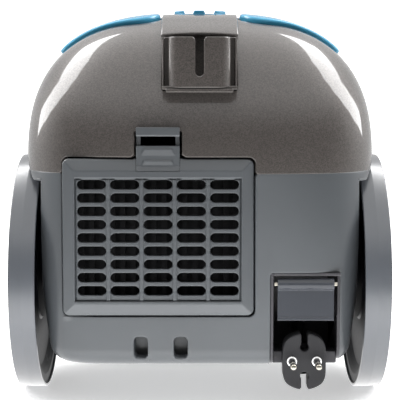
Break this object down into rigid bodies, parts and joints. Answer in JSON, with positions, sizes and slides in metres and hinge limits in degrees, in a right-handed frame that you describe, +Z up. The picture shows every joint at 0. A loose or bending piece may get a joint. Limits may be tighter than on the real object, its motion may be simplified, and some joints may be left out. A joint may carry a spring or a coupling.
{
  "type": "canister vacuum cleaner",
  "caption": "Low rounded canister vacuum cleaner on two large side wheels and a front caster, with rear exhaust grille, plug bay, foot pedals and hose socket.",
  "frame": {"origin": "on the floor under the middle of the body", "axes": "+X to the right seen from behind, +Y forwards to the hose inlet, +Z up"},
  "size_m": [0.294, 0.431, 0.3134],
  "materials": {
    "grey_plastic": "fine grained satin moulded plastic",
    "hood_plastic": "high gloss metallic taupe with fine flake",
    "blue_plastic": "gloss bright blue",
    "black_plastic": "fine grained black moulded plastic",
    "tread": "satin grey tread",
    "trim_plastic": "satin trim disc",
    "roller_plastic": "hard roller plastic",
    "flap_plastic": "polished dark grey",
    "steel": "zinc plated",
    "sheet_metal": "pressed sheet",
    "motor_core": "laminated core",
    "copper": "enamelled copper winding",
    "rubber": "soft black rubber",
    "cord_rubber": "fine matt flexible black",
    "pin_metal": "nickel plated",
    "white_plastic": "white moulded plastic",
    "brake_plastic": "orange moulded plastic",
    "filter_fabric": "pleated filter fleece",
    "bag_paper": "soft dust bag fleece",
    "card": "stiff card",
    "circuit_board": "solder resist"
  },
  "bodies": {
    "chassis": {"lower_shell": "grey_plastic", "hood": "hood_plastic", "parking_bracket": "hood_plastic", "partition": "black_plastic", "control_deck": "black_plastic", "motor_cover": "black_plastic", "motor_mounts": "rubber", "fan_shroud": "sheet_metal", "stator": "motor_core", "brush_holders": "black_plastic", "motor_bearings": "steel", "pre_motor_filter": "filter_fabric", "exhaust_filter": "filter_fabric", "filter_frame": "black_plastic", "power_pedal_spring": "steel", "rewind_pedal_spring": "steel", "switch_body": "black_plastic", "control_board": "circuit_board", "wheel_axles": "steel", "cord_lead": "cord_rubber", "reel_pins": "steel", "plug_bay": "black_plastic", "cord_tail": "cord_rubber", "strain_relief": "cord_rubber", "plug_body": "cord_rubber", "plug_pins": "pin_metal", "pin_collars": "white_plastic", "lid_seal": "rubber", "dust_bag": "bag_paper", "bag_plate": "card", "bag_holder": "blue_plastic", "case_screws": "steel"},
    "left_wheel": {"left_wheel": "black_plastic", "left_tyre": "tread", "left_hub_cap": "trim_plastic"},
    "right_wheel": {"right_wheel": "black_plastic", "right_tyre": "tread", "right_hub_cap": "trim_plastic"},
    "caster_swivel": {"caster_fork": "black_plastic", "caster_axle": "steel"},
    "caster_roller": {"caster_wheel": "roller_plastic"},
    "grille": {"grille_cover": "grey_plastic"},
    "grille_tab": {"grille_latch": "grey_plastic"},
    "power_pedal": {"power_pedal": "blue_plastic"},
    "rewind_pedal": {"rewind_pedal": "blue_plastic"},
    "switch_plunger": {"switch_plunger": "white_plastic"},
    "brake_lever": {"brake_lever": "brake_plastic"},
    "power_knob": {"power_knob": "blue_plastic"},
    "reel": {"reel_drum": "white_plastic", "reel_spring_case": "steel", "cord_pack": "cord_rubber"},
    "rotor": {"armature": "copper", "impeller": "sheet_metal"},
    "bay_flap": {"bay_flap": "flap_plastic"},
    "lid": {"dust_lid": "hood_plastic", "lid_pins": "steel", "inlet_socket": "black_plastic", "inlet_seal": "rubber"},
    "lid_catch": {"lid_latch": "blue_plastic"},
    "carry_handle": {"carry_handle": "hood_plastic"}
  },
  "joints": [
    {"name": "left_wheel_spin", "type": "hinge", "parent": "chassis", "child": "left_wheel", "pos_m": [-0.135, -0.105, 0.097], "axis": [1, 0, 0], "continuous": true},
    {"name": "right_wheel_spin", "type": "hinge", "parent": "chassis", "child": "right_wheel", "pos_m": [0.135, -0.105, 0.097], "axis": [1, 0, 0], "continuous": true},
    {"name": "caster_turn", "type": "hinge", "parent": "chassis", "child": "caster_swivel", "pos_m": [0, 0.14, 0.034], "axis": [0, 0, 1], "continuous": true},
    {"name": "caster_roll", "type": "hinge", "parent": "caster_swivel", "child": "caster_roller", "pos_m": [0, 0.131, 0.015], "axis": [1, 0, 0], "continuous": true},
    {"name": "grille_swing", "type": "hinge", "parent": "chassis", "child": "grille", "pos_m": [-0.0318, -0.2002, 0.0806], "axis": [1, 0, 0], "range_deg": [0, 45]},
    {"name": "grille_tab_flex", "type": "hinge", "parent": "grille", "child": "grille_tab", "pos_m": [-0.0318, -0.2045, 0.188], "axis": [1, 0, 0], "range_deg": [0, 4], "stiffness_Nm_per_rad": 0.6, "springref_deg": -2.86},
    {"name": "power_press", "type": "slide", "parent": "chassis", "child": "power_pedal", "axis": [0, 0, -1], "range_m": [0, 0.005], "stiffness_N_per_m": 700, "springref_m": -0.004, "deforming": ["power_pedal_spring"]},
    {"name": "plunger_travel", "type": "slide", "parent": "chassis", "child": "switch_plunger", "axis": [0, 0, -1], "range_m": [0, 0.005]},
    {"name": "rewind_press", "type": "slide", "parent": "chassis", "child": "rewind_pedal", "axis": [0, 0, -1], "range_m": [0, 0.005], "stiffness_N_per_m": 700, "springref_m": -0.004, "deforming": ["rewind_pedal_spring"]},
    {"name": "brake_rock", "type": "hinge", "parent": "chassis", "child": "brake_lever", "pos_m": [0.085, -0.059, 0.223], "axis": [1, 0, 0], "range_deg": [0, 6.8]},
    {"name": "knob_turn", "type": "hinge", "parent": "chassis", "child": "power_knob", "pos_m": [0, -0.076, 0.31], "axis": [0, 0, -1], "range_deg": [0, 270]},
    {"name": "reel_spin", "type": "hinge", "parent": "chassis", "child": "reel", "pos_m": [0.085, -0.07, 0.14], "axis": [1, 0, 0], "continuous": true},
    {"name": "motor_spin", "type": "hinge", "parent": "chassis", "child": "rotor", "pos_m": [-0.032, -0.08, 0.128], "axis": [0, 1, 0], "continuous": true},
    {"name": "flap_swing", "type": "hinge", "parent": "chassis", "child": "bay_flap", "pos_m": [0.0808, -0.2005, 0.1005], "axis": [1, 0, 0], "range_deg": [-75, 35]},
    {"name": "lid_swing", "type": "hinge", "parent": "chassis", "child": "lid", "pos_m": [0, 0.024, 0.294], "axis": [1, 0, 0], "range_deg": [0, 70]},
    {"name": "catch_rock", "type": "hinge", "parent": "lid", "child": "lid_catch", "pos_m": [0, 0.195, 0.206], "axis": [1, 0, 0], "range_deg": [0, 10], "stiffness_Nm_per_rad": 0.4, "springref_deg": -8.59},
    {"name": "handle_lift", "type": "hinge", "parent": "lid", "child": "carry_handle", "pos_m": [0, 0.056, 0.301], "axis": [1, 0, 0], "range_deg": [0, 85]}
  ],
  "couplings": [
    {"joint": "plunger_travel", "follows": "power_press", "ratio": 1},
    {"joint": "brake_rock", "follows": "rewind_press", "rad_per_m": 23.3}
  ]
}
